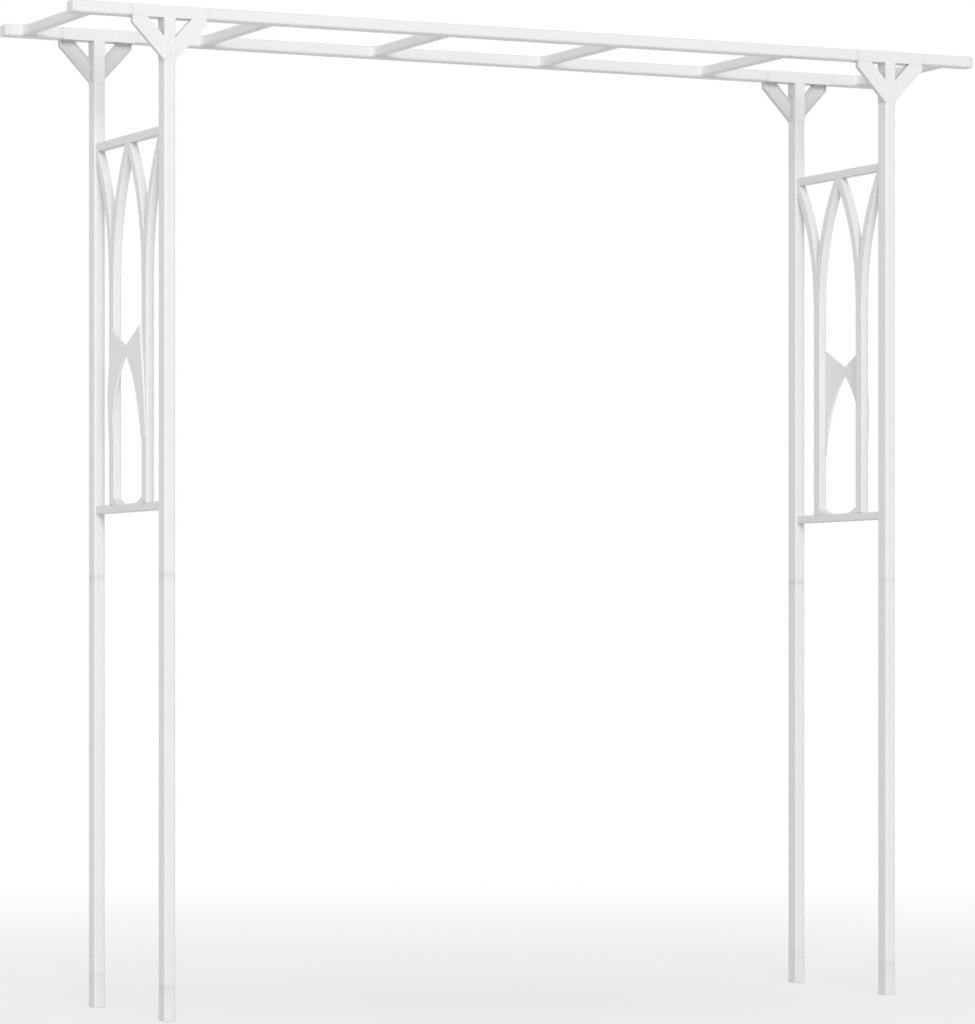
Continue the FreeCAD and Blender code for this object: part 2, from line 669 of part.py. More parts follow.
def add_flare(sketch, side):
    """A curve that leaves the rail's top level and climbs the inner face of one slat."""
    wide = value("Sizes.flare_wide")
    high = value("Sizes.flare_high")
    face = side * value(SLAT_INNER)
    sill = value(SILL_TOP)
    foot = (face - side * wide, sill)
    tip = (face, sill + high)
    centre = (foot[0], sill + (wide ** 2 + high ** 2) / (2 * high))
    arc = add_arc(sketch, centre, foot, tip) if side > 0 else add_arc(sketch, centre, tip, foot)
    foot_end, tip_end = (1, 2) if side > 0 else (2, 1)
    inner = (face, sill - value("Sizes.rail_high") / 2)
    outer = (foot[0], inner[1])
    path = [tip, inner, outer, foot] if side > 0 else [foot, outer, inner, tip]
    run = [
        sketch.addGeometry(Part.LineSegment(FreeCAD.Vector(*start, 0), FreeCAD.Vector(*end, 0)), False)
        for start, end in zip(path, path[1:])
    ]
    join_ends(sketch, [arc] + run)
    foot_y = f"{side} * ({SLAT_INNER} - Sizes.flare_wide)"
    face_y = f"{side} * {SLAT_INNER}"
    fix_point(sketch, arc, foot_end, foot_y, SILL_TOP)
    fix_point(sketch, arc, tip_end, face_y, f"{SILL_TOP} + Sizes.flare_high")
    fix_point(sketch, arc, 3, x=foot_y)
    middle = f"{SILL_TOP} - Sizes.rail_high / 2"
    fix_point(sketch, run[1], 1, face_y if side > 0 else foot_y, middle)
    fix_point(sketch, run[1], 2, foot_y if side > 0 else face_y, middle)


def bottom_rail(label):
    """A rail with a flare beside each slat, tenons for the posts and plugs for the slats."""
    body = new_body(label)
    middle = f"{SILL_TOP} - Sizes.rail_high / 2"
    rail = rectangle(body, "XZ_Plane", "Sizes.bar_thick", "Sizes.rail_high", y=middle)
    pad(body, rail, ROW_GAP, both_ways=True)
    round_edges(body, "Sizes.edge_round", lambda direction, middle: abs(direction.y) > 0.99)
    flares = new_sketch(body, "YZ_Plane")
    for side in (-1, 1):
        add_flare(flares, side)
    pad(body, flares, "Sizes.bar_thick - 2 * Sizes.edge_round", both_ways=True)
    tenons = rectangle(body, "XZ_Plane", "Sizes.tenon_wide", "Sizes.tenon_thick", y=middle)
    pad(body, tenons, f"{ROW_GAP} + 2 * {TENON_LENGTH}", both_ways=True)
    for side in (-1, 1):
        across = f"{side} * Sizes.slat_offset"
        plug = rectangle(body, "XY_Plane", BAR_PLUG_THICK, BAR_PLUG_WIDE, y=across, z=SILL_TOP)
        pad(body, plug, "Sizes.plug_length")
    return body


for side_name, side in (("left", -1), ("right", 1)):
    x = f"{side} * {HALF_X}"
    outward = about_z(0 if side > 0 else 180)
    place(header(f"{side_name}_header"), x)
    place(spreader(f"{side_name}_spreader"), x, turn=outward)
    place(bottom_rail(f"{side_name}_bottom_rail"), x)
    for row_name, row in (("front", -1), ("back", 1)):
        place(
            slat(f"{side_name}_{row_name}_slat"),
            x, f"{row} * Sizes.slat_offset", SILL_TOP, outward,
        )


# Check the model and write one file for each piece

doc.recompute()
for thing in doc.Objects:
    if "Invalid" in thing.State or "Error" in thing.State:
        raise RuntimeError(f"{thing.Label} failed: {thing.State}")
for node in nodes:
    if node.Shape.isNull() or not node.Shape.isValid() or not node.Shape.Solids:
        raise RuntimeError(f"{node.Label} has no valid solid")

os.makedirs("parts", exist_ok=True)
for node in nodes:
    node.Shape.exportStep(f"parts/{node.Label}.step")
print(len(nodes), "pieces written")
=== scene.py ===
import math

import bmesh
import bpy
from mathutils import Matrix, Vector
from mathutils.geometry import tessellate_polygon


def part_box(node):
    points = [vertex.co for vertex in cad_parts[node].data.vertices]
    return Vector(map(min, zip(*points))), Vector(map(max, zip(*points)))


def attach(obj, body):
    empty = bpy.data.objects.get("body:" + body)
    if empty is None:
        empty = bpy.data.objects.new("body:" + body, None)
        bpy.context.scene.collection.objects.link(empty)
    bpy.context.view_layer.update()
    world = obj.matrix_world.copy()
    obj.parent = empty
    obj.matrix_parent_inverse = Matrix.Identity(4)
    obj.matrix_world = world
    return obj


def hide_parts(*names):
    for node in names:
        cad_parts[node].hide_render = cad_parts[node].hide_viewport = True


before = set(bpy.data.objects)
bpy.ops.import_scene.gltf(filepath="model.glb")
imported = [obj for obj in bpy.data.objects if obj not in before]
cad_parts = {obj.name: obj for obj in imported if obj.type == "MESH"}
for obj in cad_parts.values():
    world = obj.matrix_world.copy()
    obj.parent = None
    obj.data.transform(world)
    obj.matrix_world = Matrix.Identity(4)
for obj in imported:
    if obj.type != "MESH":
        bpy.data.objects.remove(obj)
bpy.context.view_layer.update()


# Feet: solid moulded blocks of the same outline as the post tube, plugged into its lower end.
# Each has a round hole underneath for a ground peg, and softened lower edges.

CORNERS = ["front_left", "front_right", "back_left", "back_right"]
TUBE_ROUND = 0.005
FOOT_EDGE = 0.0015
EDGE_MIDDLE = 0.3
FOOT_CURVE = FOOT_EDGE * EDGE_MIDDLE
SPLASH_HEIGHT = 0.02
PEG_RADIUS = 0.00625
PEG_DEPTH = 0.060
FOOT_DUST = [1, 0.6, 0.8, 0.6, 0.5, 0.2, 0.7]


class Value:
    """A socket of a material's nodes, so that sums and products of values read as plain maths."""

    def __init__(self, tree, socket=None):
        self.tree = tree
        self.socket = socket

    def node(self, kind, settings, inputs, output=0):
        """Add a node, set it up, feed its inputs with numbers or values, and give one output."""
        made = self.tree.nodes.new(kind)
        for name, setting in settings.items():
            setattr(made, name, setting)
        for name, given in inputs.items():
            if isinstance(given, Value):
                self.tree.links.new(given.socket, made.inputs[name])
            else:
                made.inputs[name].default_value = given
        return Value(self.tree, made.outputs[output])

    def maths(self, operation, first, second):
        return self.node("ShaderNodeMath", {"operation": operation}, {0: first, 1: second})

    def __add__(self, other):
        return self.maths("ADD", self, other)

    def __mul__(self, other):
        return self.maths("MULTIPLY", self, other)

    def __sub__(self, other):
        return self.maths("SUBTRACT", self, other)

    def __rsub__(self, other):
        return self.maths("SUBTRACT", other, self)

    __radd__ = __add__
    __rmul__ = __mul__


CLOUD_SCALE = 5.0
SPECK_SCALE = 700.0
NOISE_MEAN = 0.5
DIRT_AND_SHADE_WEIGHT = 0.2
PATCHES = 0.35
STREAKS = 0.25
SPECK_ROUGHNESS = 0.10
STREAK_ROUGHNESS = 0.08
STREAK_SHARE = 0.6
GRAIN_DEPTH = 0.0004
PLASTIC_SHINE = 0.35
MIX_FIRST, MIX_SECOND, MIX_RESULT = 6, 7, 2


def white_plastic(name, stretch, colour, dust_and_shade_colour, roughness, grain):
    """Satin white plastic: soft mottling, drawn or moulded grain, a little dust at the joints, and painted
    shade in the connectors' channels.
    """
    material = bpy.data.materials.new(name)
    material.use_nodes = True
    tree = material.node_tree
    shader = tree.nodes["Principled BSDF"]
    start = Value(tree)

    def noise(place, scale, detail):
        inputs = {"Vector": place, "Scale": scale, "Detail": detail}
        return start.node("ShaderNodeTexNoise", {}, inputs, "Fac")

    place = start.node("ShaderNodeTexCoord", {}, {}, "Object")
    along = start.node("ShaderNodeVectorMath", {"operation": "MULTIPLY"}, {0: place, 1: stretch})
    drawn = noise(along, scale=1.0, detail=3.0)
    cloud = noise(place, CLOUD_SCALE, detail=4.0)
    fine = noise(place, SPECK_SCALE, detail=2.0)
    # This attribute holds dust at joints and rims, and painted shade in the connectors' channels.
    joint = start.node("ShaderNodeAttribute", {"attribute_name": "joint"}, {}, "Fac")
    patchy = (cloud - NOISE_MEAN) * PATCHES
    streaky = (drawn - NOISE_MEAN) * STREAKS
    darkening = joint * (DIRT_AND_SHADE_WEIGHT + cloud * PATCHES) + patchy + streaky
    darkening = start.node("ShaderNodeClamp", {}, {"Value": darkening})
    tints = {"Factor": darkening, MIX_FIRST: (*colour, 1), MIX_SECOND: (*dust_and_shade_colour, 1)}
    tint = start.node("ShaderNodeMix", {"data_type": "RGBA"}, tints, MIX_RESULT)
    tree.links.new(tint.socket, shader.inputs["Base Color"])
    specks = (fine - NOISE_MEAN) * SPECK_ROUGHNESS
    lines = (drawn - NOISE_MEAN) * STREAK_ROUGHNESS
    rough = roughness + specks + lines
    tree.links.new(rough.socket, shader.inputs["Roughness"])
    height = drawn * STREAK_SHARE + fine * (1 - STREAK_SHARE)
    bump = start.node(
        "ShaderNodeBump", {}, {"Strength": grain, "Distance": GRAIN_DEPTH, "Height": height}
    )
    tree.links.new(bump.socket, shader.inputs["Normal"])
    shader.inputs["Specular IOR Level"].default_value = PLASTIC_SHINE
    return material


MOULD_TEXTURE = (90, 90, 90)
MOULD_ROUGHNESS = 0.46
MOULD_GRAIN = 0.10


def moulded_plastic(name, colour, dust_and_shade_colour):
    """White plastic with the even grain of a mould."""
    return white_plastic(name, MOULD_TEXTURE, colour, dust_and_shade_colour, MOULD_ROUGHNESS, MOULD_GRAIN)


CLEAN_WHITE = (0.82, 0.825, 0.82)
# The darker white that dust, mottling and painted shade blend towards.
DUST_AND_SHADE_WHITE = (0.66, 0.66, 0.645)
moulded_white = moulded_plastic("moulded_white", CLEAN_WHITE, DUST_AND_SHADE_WHITE)


def rounded_outline(wide, deep, corner, steps=6):
    """Points round a rectangle with rounded corners, about the origin."""
    points = []
    for quarter, (sx, sy) in enumerate(((1, 1), (-1, 1), (-1, -1), (1, -1))):
        for step in range(steps + 1):
            turn = (quarter + step / steps) * math.pi / 2
            x = sx * (wide / 2 - corner) + corner * math.cos(turn)
            y = sy * (deep / 2 - corner) + corner * math.sin(turn)
            points.append((x, y))
    return points


def skin(name, rings, joints, ends_closed, ring_closed=False):
    """A mesh over a run of like rings of points; joints gives each ring's dust, from 0 to 1."""
    mesh = bpy.data.meshes.new(name)
    around = len(rings[0])
    faces = []
    runs = len(rings) if ring_closed else len(rings) - 1
    for run in range(runs):
        low = run * around
        high = (run + 1) % len(rings) * around
        for i in range(around):
            j = (i + 1) % around
            faces.append((low + i, low + j, high + j, high + i))
    if ends_closed:
        faces.append(tuple(reversed(range(around))))
        faces.append(tuple(range((len(rings) - 1) * around, len(rings) * around)))
    mesh.from_pydata([point for ring in rings for point in ring], [], faces)
    layer = mesh.attributes.new("joint", "FLOAT", "POINT")
    for ring, darkening in enumerate(joints):
        for i in range(around):
            layer.data[ring * around + i].value = darkening
    return mesh


CREASE = math.radians(40)
FLATNESS = 80


def soft_piece(name, mesh, material, slot, *nodes):
    """Show a mesh in place of its solids, shaded so that flat faces stay flat beside rounded edges."""
    bm = bmesh.new()
    bm.from_mesh(mesh)
    bmesh.ops.recalc_face_normals(bm, faces=bm.faces)
    bm.to_mesh(mesh)
    bm.free()
    mesh.shade_smooth()
    mesh.set_sharp_from_angle(angle=CREASE)
    mesh.materials.append(material)
    piece = bpy.data.objects.new(name, mesh)
    bpy.context.scene.collection.objects.link(piece)
    level = piece.modifiers.new("flat_faces", "WEIGHTED_NORMAL")
    level.mode = "FACE_AREA"
    level.weight = FLATNESS
    level.keep_sharp = True
    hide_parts(*nodes)
    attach(piece, "root")
    return piece


for corner in CORNERS:
    node = f"{corner}_foot"
    low, high = [Vector(end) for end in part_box(node)]
    middle = (low + high) / 2
    wide, deep = high.x - low.x, high.y - low.y
    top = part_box(f"{corner}_post_lower")[0][2]
    rings = []
    for inset, level in (
        (FOOT_EDGE, low.z), (FOOT_CURVE, low.z + FOOT_CURVE), (0, low.z + FOOT_EDGE),
        (0, low.z + SPLASH_HEIGHT), (0, top),
    ):
        outline = rounded_outline(wide - 2 * inset, deep - 2 * inset, TUBE_ROUND - inset)
        rings.append([(middle.x + x, middle.y + y, level) for x, y in outline])
    peg = [
        (middle.x + PEG_RADIUS * math.cos(turn), middle.y + PEG_RADIUS * math.sin(turn))
        for turn in (math.atan2(y - middle.y, x - middle.x) for x, y, z in rings[0])
    ]
    rings.insert(0, [(x, y, low.z) for x, y in peg])
    rings.insert(0, [(x, y, low.z + PEG_DEPTH) for x, y in peg])
    mesh = skin(node, rings, FOOT_DUST, ends_closed=True)
    soft_piece(f"{node}_block", mesh, moulded_white, "moulded_white", node)


# Post tubes: drawn white plastic tube, a lower and an upper length to each post.
# The cut ends are only just eased, so the joints show as fine lines.

TUBE_WALL = 0.002
RIM_EASE = 0.0006
RIM_DUST = 0.8
DUST_REACH = 0.012
LEAST_ROUND = 0.0004
DRAWN_ACROSS = 260
DRAWN_ALONG = 4
DRAWN_ROUGHNESS = 0.40
DRAWN_GRAIN = 0.12


def drawn_plastic(name, run):
    """White plastic with fine lines along the axis in which the tube was drawn."""
    stretch = [DRAWN_ACROSS] * 3
    stretch[run] = DRAWN_ALONG
    return white_plastic(name, stretch, CLEAN_WHITE, DUST_AND_SHADE_WHITE, DRAWN_ROUGHNESS, DRAWN_GRAIN)


upright_white = drawn_plastic("upright_tube_white", run=2)


def tube_piece(node, corner, wall, material, ease=RIM_EASE, dusty=1):
    """A hollow tube along the longest side of its solid's box, with eased rims."""
    low, high = [Vector(end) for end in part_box(node)]
    size = high - low
    run = max(range(3), key=lambda axis: size[axis])
    across, up = [axis for axis in range(3) if axis != run]
    middle = (low + high) / 2
    rings = []
    joints = []

    def add_ring(inset, distance, darkening):
        rounding = max(corner - inset, LEAST_ROUND)
        outline = rounded_outline(size[across] - 2 * inset, size[up] - 2 * inset, rounding)
        ring = []
        for a, b in outline:
            point = [0, 0, 0]
            point[run] = low[run] + distance
            point[across] = middle[across] + a
            point[up] = middle[up] + b
            ring.append(point)
        rings.append(ring)
        joints.append(darkening)

    length = size[run]
    curve = ease * EDGE_MIDDLE
    for inset, distance, darkening in (
        (ease, 0, 1), (curve, curve, 1), (0, ease, RIM_DUST), (0, DUST_REACH, 0),
        (0, length - DUST_REACH, 0), (0, length - ease, RIM_DUST), (curve, length - curve, 1),
        (ease, length, 1), (wall, length, 1), (wall, 0, 1),
    ):
        add_ring(inset, distance, darkening * dusty)
    mesh = skin(node, rings, joints, ends_closed=False, ring_closed=True)
    return soft_piece(f"{node}_tube", mesh, material, "extruded_white", node)


for corner in CORNERS:
    for length in ("lower", "upper"):
        tube_piece(f"{corner}_post_{length}", TUBE_ROUND, TUBE_WALL, upright_white)


# Post couplers: moulded plugs hidden inside the post joints.
# Only the thin flange between the two tube ends is seen, a hair narrower than the tubes.

FLANGE_INSET = 0.0005
FIT_GAP = 0.0002
PLUG_CUT = 2 * (TUBE_WALL + FIT_GAP)
PLUG_ROUND = 0.001

for corner in CORNERS:
    node = f"{corner}_post_coupler"
    low, high = [Vector(end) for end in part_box(node)]
    middle = (low + high) / 2
    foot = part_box(f"{corner}_post_lower")[1][2]
    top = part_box(f"{corner}_post_upper")[0][2]
    rings = []
    for cut, rounding, level in (
        (PLUG_CUT, PLUG_ROUND, low.z), (PLUG_CUT, PLUG_ROUND, foot),
        (2 * FLANGE_INSET, TUBE_ROUND, foot), (2 * FLANGE_INSET, TUBE_ROUND, top),
        (PLUG_CUT, PLUG_ROUND, top), (PLUG_CUT, PLUG_ROUND, high.z),
    ):
        outline = rounded_outline(high.x - low.x - cut, high.y - low.y - cut, rounding)
        rings.append([(middle.x + x, middle.y + y, level) for x, y in outline])
    mesh = skin(node, rings, [1] * len(rings), ends_closed=True)
    soft_piece(f"{node}_plug", mesh, moulded_white, "moulded_white", node)


# Bottom rails: moulded bars between the posts of each side, with a flare that sweeps up to each slat.
# They carry the lower ends of the slats.

SIDES = ["left", "right"]
RAIL_EDGE = 0.003
FLARE_WIDE = 0.050
FLARE_HIGH = 0.014
FLARE_STEPS = 10
FOLDED_BACK = 0.01
SHARPEST = 0.4
ON_SEAT = 0.00001
EDGE_STEPS = 4


def inset_loop(loop, inset, seats):
    """A closed run of points moved towards the plastic on its left.

    A seat is an axis and a distance from the middle where another piece butts: points on it only
    slide along it, and no point moves out past it.
    """
    moved = []
    for before, here, after in zip(loop[-1:] + loop[:-1], loop, loop[1:] + loop[:1]):
        first = (Vector(here) - Vector(before)).normalized()
        second = (Vector(after) - Vector(here)).normalized()
        left = Vector((-first.y - second.y, first.x + second.x))
        left = left.normalized() if left.length > FOLDED_BACK else Vector((-first.y, first.x))
        opening = max(left.dot(Vector((-first.y, first.x))), SHARPEST)
        there = Vector(here) + left * (inset / opening)
        for axis, line in seats:
            if abs(abs(here[axis]) - line) < ON_SEAT:
                slide = there[1 - axis] - here[1 - axis]
                there[axis] = here[axis]
                there[1 - axis] = here[1 - axis] + max(-inset, min(inset, slide))
            elif abs(here[axis]) < line < abs(there[axis]):
                there[axis] = math.copysign(line, here[axis])
        moved.append(tuple(there))
    return moved


def flat_moulding(node, loops, seats, edge, faces_x, material=moulded_white):
    """A flat moulding from its outline and windows, between two faces, with rounded edges off its seats."""
    middle_x = (faces_x[0] + faces_x[1]) / 2
    half = (faces_x[1] - faces_x[0]) / 2
    turns = [math.pi / 2 * k / EDGE_STEPS for k in range(EDGE_STEPS + 1)]
    steps = [(-1, 1 - math.sin(t), 1 - math.cos(t)) for t in turns]
    steps += [(1, across, deep) for side, across, deep in reversed(steps)]
    points = []
    faces = []
    caps = [[], []]
    for loop in loops:
        around = len(loop)
        base = len(points)
        for side, across, deep in steps:
            x = middle_x + side * (half - edge * deep)
            points += [(x, y, z) for y, z in inset_loop(loop, edge * across, seats)]
        for ring in range(len(steps) - 1):
            for i in range(around):
                j = (i + 1) % around
                low, high = base + ring * around, base + (ring + 1) * around
                faces.append((low + i, low + j, high + j, high + i))
        for cap, ring in ((0, 0), (1, len(steps) - 1)):
            caps[cap].append([base + ring * around + i for i in range(around)])
    for rims in caps:
        order = [index for rim in rims for index in rim]
        flat = [[Vector((points[i][1], points[i][2], 0)) for i in rim] for rim in rims]
        faces += [tuple(order[i] for i in corner) for corner in tessellate_polygon(flat)]
    mesh = bpy.data.meshes.new(node)
    mesh.from_pydata(points, [], faces)
    mesh.attributes.new("joint", "FLOAT", "POINT")
    return soft_piece(f"{node}_moulding", mesh, material, "moulded_white", node)


def arc(centre, start, end, steps):
    """Points on a circle about the centre, from start to end by the shorter way."""
    radius = math.dist(centre, start)
    first, last = [math.atan2(z - centre[1], y - centre[0]) for y, z in (start, end)]
    turn = (last - first + math.pi) % (2 * math.pi) - math.pi
    angles = [first + turn * k / steps for k in range(steps + 1)]
    return [(centre[0] + radius * math.cos(a), centre[1] + radius * math.sin(a)) for a in angles]


for side in SIDES:
    node = f"{side}_bottom_rail"
    low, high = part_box(node)
    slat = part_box(f"{side}_back_slat")
    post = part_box(f"back_{side}_post_upper")
    sill, under = slat[0][2], low[2]
    end, inner = post[0][1], slat[0][1]
    reach = inner - FLARE_WIDE
    sweep = (FLARE_WIDE ** 2 + FLARE_HIGH ** 2) / (2 * FLARE_HIGH)
    half = [(end, under), (end, sill), (inner, sill), (inner, sill + FLARE_HIGH)]
    half += arc((reach, sill + sweep), (inner, sill + FLARE_HIGH), (reach, sill), FLARE_STEPS)[1:]
    outline = half + [(-y, z) for y, z in reversed(half)]
    flat_moulding(node, [outline], [(0, end), (0, inner)], RAIL_EDGE, (low[0], high[0]))


# Slats: flat drawn tubes with rounded edges, two upright in each side panel.
# They stand on the bottom rail and end under the forks of the header.

ROWS = ["front", "back"]
SLAT_ROUND = 0.004
SLAT_WALL = 0.0018
SLAT_EASE = 0.0001

for side in SIDES:
    for row in ROWS:
        tube_piece(f"{side}_{row}_slat", SLAT_ROUND, SLAT_WALL, upright_white, SLAT_EASE, dusty=0)


# Spreaders: thin moulded plates fixed across the outer faces of the two slats of a panel.
# A pointed arch is cut into the lower edge, the upper edge dips, and the legs thin out downwards.

SPREADER_DIP = 0.041
SPREADER_WEB = 0.017
SPREADER_THICK = 0.005
SPREADER_EDGE = 0.0014
SPREADER_LAP = 0.004
SHOULDER_SHARE = 0.4
SPREADER_STEPS = 16
LEG_THINS = 0.060
LEG_TIP = 0.2
OUTWARDS = {"left": -1, "right": 1}
# A lighter copy of the moulded white paints in the brighter light that the plates catch.
LIT_PLATE_WHITE = (0.86, 0.865, 0.86)
spreader_lit_white = moulded_plastic("spreader_lit_white", LIT_PLATE_WHITE, CLEAN_WHITE)

for side, out in OUTWARDS.items():
    node = f"{side}_spreader"
    low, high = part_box(node)
    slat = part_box(f"{side}_back_slat")
    half, edge = slat[0][1], slat[1][1] - SLAT_ROUND
    spring, top = low[2], high[2]
    shoulder = spring + (top - spring) * SHOULDER_SHARE
    apex = top - SPREADER_DIP - SPREADER_WEB
    rise = apex - spring
    reach = (rise ** 2 - half ** 2) / (2 * half)
    right = arc((-reach, spring), (0, apex), (half, spring), SPREADER_STEPS)
    right += [(edge, spring), (edge, shoulder), (half + SPREADER_LAP, top)]
    left = [(-y, z) for y, z in reversed(right[1:])]
    outline = right + [(0, top - SPREADER_DIP)] + left
    seat = slat[1][0] if out > 0 else slat[0][0]
    faces_x = sorted((seat, seat + out * SPREADER_THICK))
    plate = flat_moulding(node, [outline], [], SPREADER_EDGE, faces_x, spreader_lit_white)
    for point in plate.data.vertices:
        share = min(1, LEG_TIP + (1 - LEG_TIP) * (point.co.z - spring) / LEG_THINS)
        point.co.x = seat + (point.co.x - seat) * share


# Headers: one moulding for each side, a rail with two forks that part into gothic arches.
# The middle arch stands between the slats, and half arches run out to the posts.

HEADER_EDGE = 0.002
APEX_WEB = 0.017
FORK_WIDE = 0.021
RAIL_HIGH = 0.018
ARCH_STEPS = 24
BRANCH_STEPS = 18
CROTCH_LIFT = 0.016
CROTCH_TURNS = (0.6, 1.2, 1.8, 2.4)

for side in SIDES:
    node = f"{side}_header"
    low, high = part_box(node)
    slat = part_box(f"{side}_back_slat")
    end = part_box(f"back_{side}_post_upper")[0][1]
    inner, outer = slat[0][1], slat[1][1]
    spring, top = slat[1][2], high[2]
    under = top - RAIL_HIGH
    bay = inner + outer
    rise = under - APEX_WEB - spring
    reach = (rise ** 2 - inner ** 2) / (2 * inner)
    radius = reach + inner
    wide = radius + FORK_WIDE

    # Lower edge: the middle arch down to a slat, and the half arch up to the post.
    arch_centre = (-reach, spring)
    post_centre = (bay + reach, spring)
    apex = (0, spring + rise)
    meet = (end, spring + math.sqrt(radius ** 2 - (post_centre[0] - end) ** 2))
    half = arc(arch_centre, apex, (inner, spring), ARCH_STEPS)
    half += arc(post_centre, (outer, spring), meet, BRANCH_STEPS)
    half.append((end, top))
    outline = half + [(-y, z) for y, z in reversed(half[1:])]

    # Windows: the opening over each fork, with a small round in the fork's inside corner.
    middle = bay / 2
    crotch = spring + math.sqrt(wide ** 2 - (middle + reach) ** 2) + CROTCH_LIFT
    gap = middle + reach - math.sqrt(wide ** 2 - (crotch - spring) ** 2)
    inner_top = (math.sqrt(wide ** 2 - (under - spring) ** 2) - reach, under)
    outer_top = (min(bay - inner_top[0], end), under)
    window = arc(post_centre, outer_top, (middle + gap, crotch), BRANCH_STEPS)
    window += [(middle + gap * math.cos(t), crotch - gap * math.sin(t)) for t in CROTCH_TURNS]
    window += arc(arch_centre, (middle - gap, crotch), inner_top, BRANCH_STEPS)
    mirrored = [(-y, z) for y, z in reversed(window)]
    loops = [outline, window, mirrored]
    flat_moulding(node, loops, [(0, end), (1, spring)], HEADER_EDGE, (low[0], high[0]))


# Corner connectors: moulded pieces that join post and beam, a top bar and a leg with two slanting arms.
# The arms are open channels on the inner side, with shade painted into their recess, and all edges are
# slightly rounded.

CONNECTOR_EDGE = 0.0011
SAME_POINT = 0.00002
FLAT_ANGLE = 0.01
SHARP_ANGLE = 0.7
CHANNEL_FROM = 0.0095
CHANNEL_TO = 0.0145
# How strongly painted shade darkens the channel floors.
CHANNEL_SHADE = 2.0


def eased_copy(name, node, edge, material, slot):
    """A copy of a solid with its sharp edges rounded."""
    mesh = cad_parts[node].data.copy()
    mesh.name = name
    mesh.materials.clear()
    bm = bmesh.new()
    bm.from_mesh(mesh)
    bmesh.ops.remove_doubles(bm, verts=bm.verts, dist=SAME_POINT)
    bmesh.ops.dissolve_limit(bm, angle_limit=FLAT_ANGLE, verts=bm.verts, edges=bm.edges)
    sharp = [e for e in bm.edges if len(e.link_faces) == 2 and e.calc_face_angle(0) > SHARP_ANGLE]
    bmesh.ops.bevel(
        bm, geom=sharp, offset=edge, offset_type="OFFSET", segments=2, profile=0.5, affect="EDGES",
        clamp_overlap=True,
    )
    bm.to_mesh(mesh)
    bm.free()
    mesh.attributes.new("joint", "FLOAT", "POINT")
    return soft_piece(name, mesh, material, slot, node)


for corner in CORNERS:
    node = f"{corner}_connector"
    piece = eased_copy(f"{node}_moulding", node, CONNECTOR_EDGE, moulded_white, "moulded_white")
    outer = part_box(node)[0 if corner.startswith("front") else 1][1]
    # The channels are known by their depth behind the outer face; their floors get painted shade.
    layer = piece.data.attributes["joint"]
    for point in piece.data.vertices:
        if CHANNEL_FROM < abs(point.co.y - outer) < CHANNEL_TO:
            layer.data[point.index].value = CHANNEL_SHADE


# Beams: the same drawn tube as the posts, lying flat, in a long middle length and two short ends.
# The lengths are plugged on to the connectors.

level_white = drawn_plastic("beam_tube_white", run=0)

for row in ROWS:
    for length in ("left_end", "middle", "right_end"):
        tube_piece(f"{row}_beam_{length}", TUBE_ROUND, TUBE_WALL, level_white)


# Beam caps: small moulded covers pressed into the open ends of the beams.
# The rim is rounded off, and the face is very slightly domed.

CAP_DOME = 0.0006
CAP_ROUND = 0.0018
CAP_CURVE = CAP_ROUND * EDGE_MIDDLE
CROWN_CUT = 0.012
CROWN_ROUND = 0.003
CAP_DUST = [1, 1, 1, 0.3, 0, 0, 0]

for row in ROWS:
    for side, out in OUTWARDS.items():
        node = f"{row}_beam_{side}_cap"
        low, high = [Vector(end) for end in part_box(node)]
        middle = (low + high) / 2
        tube_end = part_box(f"{row}_beam_{side}_end")[0 if out < 0 else 1][0]
        inside = low.x if out > 0 else high.x
        face = high.x if out > 0 else low.x
        rings = []
        for cut, rounding, x in (
            (PLUG_CUT, PLUG_ROUND, inside), (PLUG_CUT, PLUG_ROUND, tube_end), (0, TUBE_ROUND, tube_end),
            (0, TUBE_ROUND, face - out * (CAP_ROUND + CAP_DOME)),
            (CAP_CURVE * 2, TUBE_ROUND - CAP_CURVE, face - out * (CAP_CURVE + CAP_DOME)),
            (CAP_ROUND * 2, TUBE_ROUND - CAP_ROUND, face - out * CAP_DOME),
            (CROWN_CUT, CROWN_ROUND, face),
        ):
            outline = rounded_outline(high.y - low.y - cut, high.z - low.z - cut, rounding)
            rings.append([(x, middle.y + y, middle.z + z) for y, z in outline])
        mesh = skin(node, rings, CAP_DUST, ends_closed=True)
        soft_piece(f"{node}_cover", mesh, moulded_white, "moulded_white", node)


# Rungs: narrow drawn tubes set on edge between the two beams like a ladder.
# Each end butts against the side of a beam and flares out to it on both sides.

RUNG_FLARE = 0.009
RUNG_FLARE_RUN = 0.032
RUNG_FLARE_STEPS = 8
crossing_white = drawn_plastic("rung_tube_white", run=1)

for node in sorted(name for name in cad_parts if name.startswith("rung_")):
    low, high = [Vector(end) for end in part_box(node)]
    middle = (low + high) / 2
    size = high - low
    turns = [math.pi / 2 * step / RUNG_FLARE_STEPS for step in range(RUNG_FLARE_STEPS + 1)]
    flare = [(RUNG_FLARE_RUN * (1 - math.cos(t)), RUNG_FLARE * (1 - math.sin(t))) for t in turns]
    stations = [(distance, wider, 0) for distance, wider in flare]
    stations += [(size.y - distance, wider, 0) for distance, wider in reversed(flare)]
    stations += [(size.y, -SLAT_WALL, SLAT_WALL), (0, -SLAT_WALL, SLAT_WALL)]
    rings = []
    for distance, wider, lower in stations:
        outline = rounded_outline(size.x + 2 * wider, size.z - 2 * lower, SLAT_ROUND - lower)
        rings.append([(middle.x + x, low.y + distance, middle.z + z) for x, z in outline])
    mesh = skin(node, rings, [0] * len(rings), ends_closed=False, ring_closed=True)
    soft_piece(f"{node}_tube", mesh, crossing_white, "extruded_white", node)


# Rung plugs: moulded plugs inside the rungs' ends, with a tenon through the wall of the beam.
# They are hidden once the roof is put together.

PLUG_EDGE = 0.0006

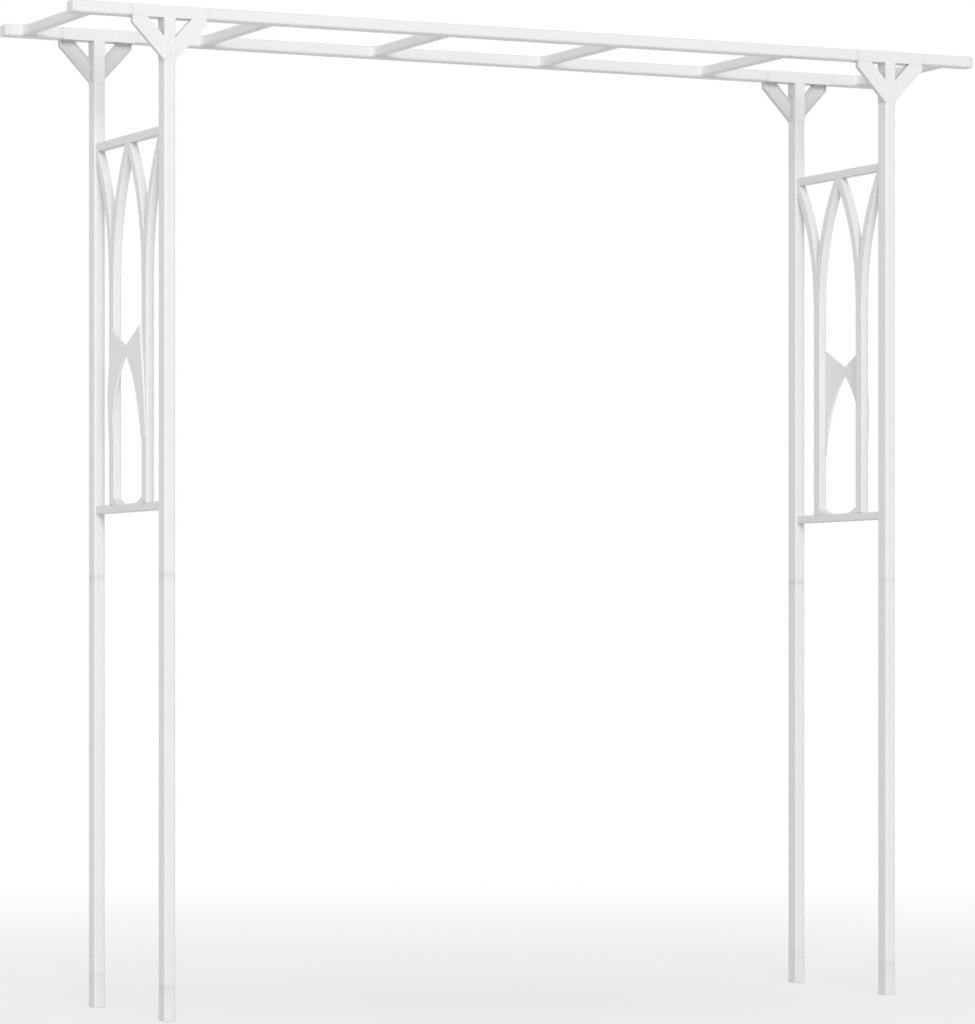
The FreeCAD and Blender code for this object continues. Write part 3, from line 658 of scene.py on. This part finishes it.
for row in ROWS:
    node = f"{row}_rung_plugs"
    eased_copy(f"{node}_set", node, PLUG_EDGE, moulded_white, "moulded_white")


# Floor: a wide plain pale surface under the arch.
# It runs out to white in the distance and keeps the soft shadows of the posts.

FLOOR_HALF = 40.0
FLOOR_COLOUR = (0.80, 0.80, 0.80)
FLOOR_GLOW = 0.55
FLOOR_FADE = 0.09

floor_corners = [(sx * FLOOR_HALF, sy * FLOOR_HALF, 0) for sx, sy in ((-1, -1), (1, -1), (1, 1), (-1, 1))]
floor_mesh = bpy.data.meshes.new("floor")
floor_mesh.from_pydata(floor_corners, [], [(0, 1, 2, 3)])
floor = bpy.data.objects.new("floor", floor_mesh)
bpy.context.scene.collection.objects.link(floor)
floor_white = bpy.data.materials.new("floor_white")
floor_white.use_nodes = True
tree = floor_white.node_tree
tree.nodes.remove(tree.nodes["Principled BSDF"])
ground = Value(tree)
rays = ("Is Camera Ray", "Is Glossy Ray", "Is Transmission Ray")
seen = sum(ground.node("ShaderNodeLightPath", {}, {}, ray) for ray in rays)
matt = ground.node("ShaderNodeBsdfDiffuse", {}, {"Color": (*FLOOR_COLOUR, 1)})
glow = ground.node("ShaderNodeEmission", {}, {"Color": (1, 1, 1, 1), "Strength": 1.0})
spot = ground.node("ShaderNodeTexCoord", {}, {}, "Object")
away = ground.node("ShaderNodeVectorMath", {"operation": "LENGTH"}, {0: spot}, "Value")
fade = ground.node("ShaderNodeClamp", {}, {"Value": FLOOR_GLOW + away * FLOOR_FADE})
mixed = ground.node("ShaderNodeMixShader", {}, {0: seen * fade, 1: matt, 2: glow})
tree.links.new(mixed.socket, tree.nodes["Material Output"].inputs["Surface"])
floor_mesh.materials.append(floor_white)


# Light: a broad soft lamp from the front left and a weak one further round to the left.
# An even pale surround fills the shadows and shows as white behind the arch.

SURROUND = 0.54


def soft_lamp(name, place, target, size, power):
    """A round area lamp that faces its target."""
    lamp = bpy.data.lights.new(name, "AREA")
    lamp.shape = "DISK"
    lamp.size = size
    lamp.energy = power
    holder = bpy.data.objects.new(name, lamp)
    holder.location = place
    holder.rotation_euler = (Vector(target) - Vector(place)).to_track_quat("-Z", "Y").to_euler()
    bpy.context.scene.collection.objects.link(holder)


soft_lamp("key_lamp", place=(-6.0, -19.0, 7.5), target=(0, 0, 1.2), size=8.0, power=2020)
soft_lamp("fill_lamp", place=(-14.0, -3.5, 4.0), target=(0, 0, 1.4), size=6.0, power=140)

world = bpy.data.worlds.new("surround")
bpy.context.scene.world = world
world.use_nodes = True
sky = Value(world.node_tree)
seen = sum(sky.node("ShaderNodeLightPath", {}, {}, ray) for ray in rays)
background = world.node_tree.nodes["Background"]
background.inputs["Color"].default_value = (1, 1, 1, 1)
strength = SURROUND + seen * (1 - SURROUND)
world.node_tree.links.new(strength.socket, background.inputs["Strength"])


# Camera: level and a little left of the front, far away with a long lens.
# The lens is shifted upwards, so that the posts stay upright.

IMAGE_WIDE = 975
FOCAL_PIXELS = 4636.4
HORIZON_DROP = 136.7
SENSOR_WIDE = 36.0
VIEW_REACH = 200
CAMERA_PLACE = (-4.3846, -9.1555, 0.7708)
CAMERA_TURN = math.radians(-25.45)

camera = bpy.data.cameras.new("camera")
camera.sensor_fit = "HORIZONTAL"
camera.sensor_width = SENSOR_WIDE
camera.lens = FOCAL_PIXELS / IMAGE_WIDE * SENSOR_WIDE
camera.shift_y = HORIZON_DROP / IMAGE_WIDE
camera.clip_end = VIEW_REACH
holder = bpy.data.objects.new("camera", camera)
holder.location = CAMERA_PLACE
holder.rotation_euler = (math.radians(90), 0, CAMERA_TURN)
bpy.context.scene.collection.objects.link(holder)
bpy.context.scene.camera = holder
bpy.context.scene.view_settings.view_transform = "Standard"
